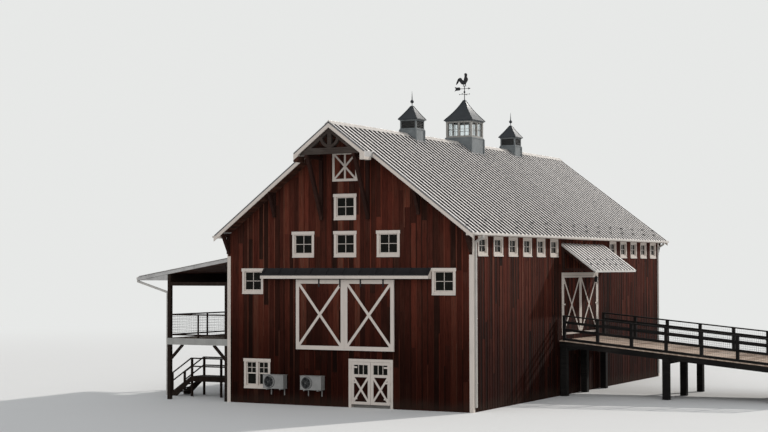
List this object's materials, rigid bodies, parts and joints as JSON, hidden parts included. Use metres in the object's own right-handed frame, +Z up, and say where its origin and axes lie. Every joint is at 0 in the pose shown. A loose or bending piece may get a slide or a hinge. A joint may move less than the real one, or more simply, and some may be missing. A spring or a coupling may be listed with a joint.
{
  "type": "red timber barn",
  "caption": "Boarded red barn with a hooded gable, ribbed metal roof, ridge cupolas, side porch and an entrance bridge.",
  "frame": {"origin": "ground level at the middle of the barn's footprint", "axes": "+Z up, -Y out of the hooded front gable, +X out of the entrance side with the bridge"},
  "size_m": [29.14, 26.97, 15.937],
  "materials": {
    "red_boards": "weathered red vertical boards",
    "white_trim": "aged off-white paint",
    "white_metal": "off-white paint",
    "ribbed_metal": "light ribbed sheet",
    "dark_metal": "dark blue-black paint",
    "weathered_timber": "weathered dark timber",
    "floor_planks": "worn planks",
    "concrete": "floated concrete",
    "window_glass": "clear",
    "grey_enamel": "light grey enamel"
  },
  "bodies": {
    "barn": {"ground_slab": "concrete", "main_floor": "floor_planks", "front_wall_left": "red_boards", "front_wall_right": "red_boards", "front_gable_wall": "red_boards", "back_wall": "red_boards", "left_wall": "red_boards", "right_wall_front": "red_boards", "right_wall_back": "red_boards", "right_wall_centre": "red_boards", "roof_left": "ribbed_metal", "roof_right": "ribbed_metal", "ridge_cap": "ribbed_metal", "rake_boards": "white_trim", "boxed_eaves": "white_trim", "corner_boards": "white_trim", "gutters": "white_metal", "downspouts": "white_metal", "gable_truss": "weathered_timber", "knee_braces": "weathered_timber", "front_windows": "white_trim", "side_windows": "white_trim", "back_windows": "white_trim", "window_glass": "window_glass", "loft_door": "red_boards", "sliding_doors": "red_boards", "door_track": "dark_metal", "track_cover": "white_trim", "ground_door_frame": "white_trim", "entrance_frame": "white_trim", "entrance_canopy": "ribbed_metal", "entrance_lantern": "dark_metal", "cupola_bases": "white_trim", "cupola_louvres": "white_trim", "cupola_lantern": "white_trim", "cupola_glass": "window_glass", "cupola_roofs": "dark_metal", "vane_mast": "dark_metal", "porch_roof": "ribbed_metal", "porch_frame": "weathered_timber", "porch_deck": "floor_planks", "porch_railings": "weathered_timber", "porch_stair": "weathered_timber", "bridge_deck": "floor_planks", "bridge_frame": "weathered_timber", "bridge_railing_front": "weathered_timber", "bridge_railing_back": "weathered_timber", "heat_pumps": "grey_enamel"},
    "vane": {"weathervane": "dark_metal"},
    "ground_leaf_left": {"ground_door_left": "red_boards"},
    "ground_leaf_right": {"ground_door_right": "red_boards"},
    "entrance_leaf_left": {"entrance_door_left": "red_boards"},
    "entrance_leaf_right": {"entrance_door_right": "red_boards"}
  },
  "joints": [
    {"name": "vane_turn", "type": "hinge", "parent": "barn", "child": "vane", "pos_m": [0, 0, 15.15], "axis": [0, 0, 1], "continuous": true},
    {"name": "ground_left_swing", "type": "hinge", "parent": "barn", "child": "ground_leaf_left", "pos_m": [0.295, -12.454, 1], "axis": [0, 0, -1], "range_deg": [0, 90]},
    {"name": "ground_right_swing", "type": "hinge", "parent": "barn", "child": "ground_leaf_right", "pos_m": [2.215, -12.454, 1], "axis": [0, 0, 1], "range_deg": [0, 90]},
    {"name": "entrance_left_swing", "type": "hinge", "parent": "barn", "child": "entrance_leaf_left", "pos_m": [6.154, -2.195, 4.2], "axis": [0, 0, -1], "range_deg": [0, 90]},
    {"name": "entrance_right_swing", "type": "hinge", "parent": "barn", "child": "entrance_leaf_right", "pos_m": [6.154, 2.495, 4.2], "axis": [0, 0, 1], "range_deg": [0, 90]}
  ]
}
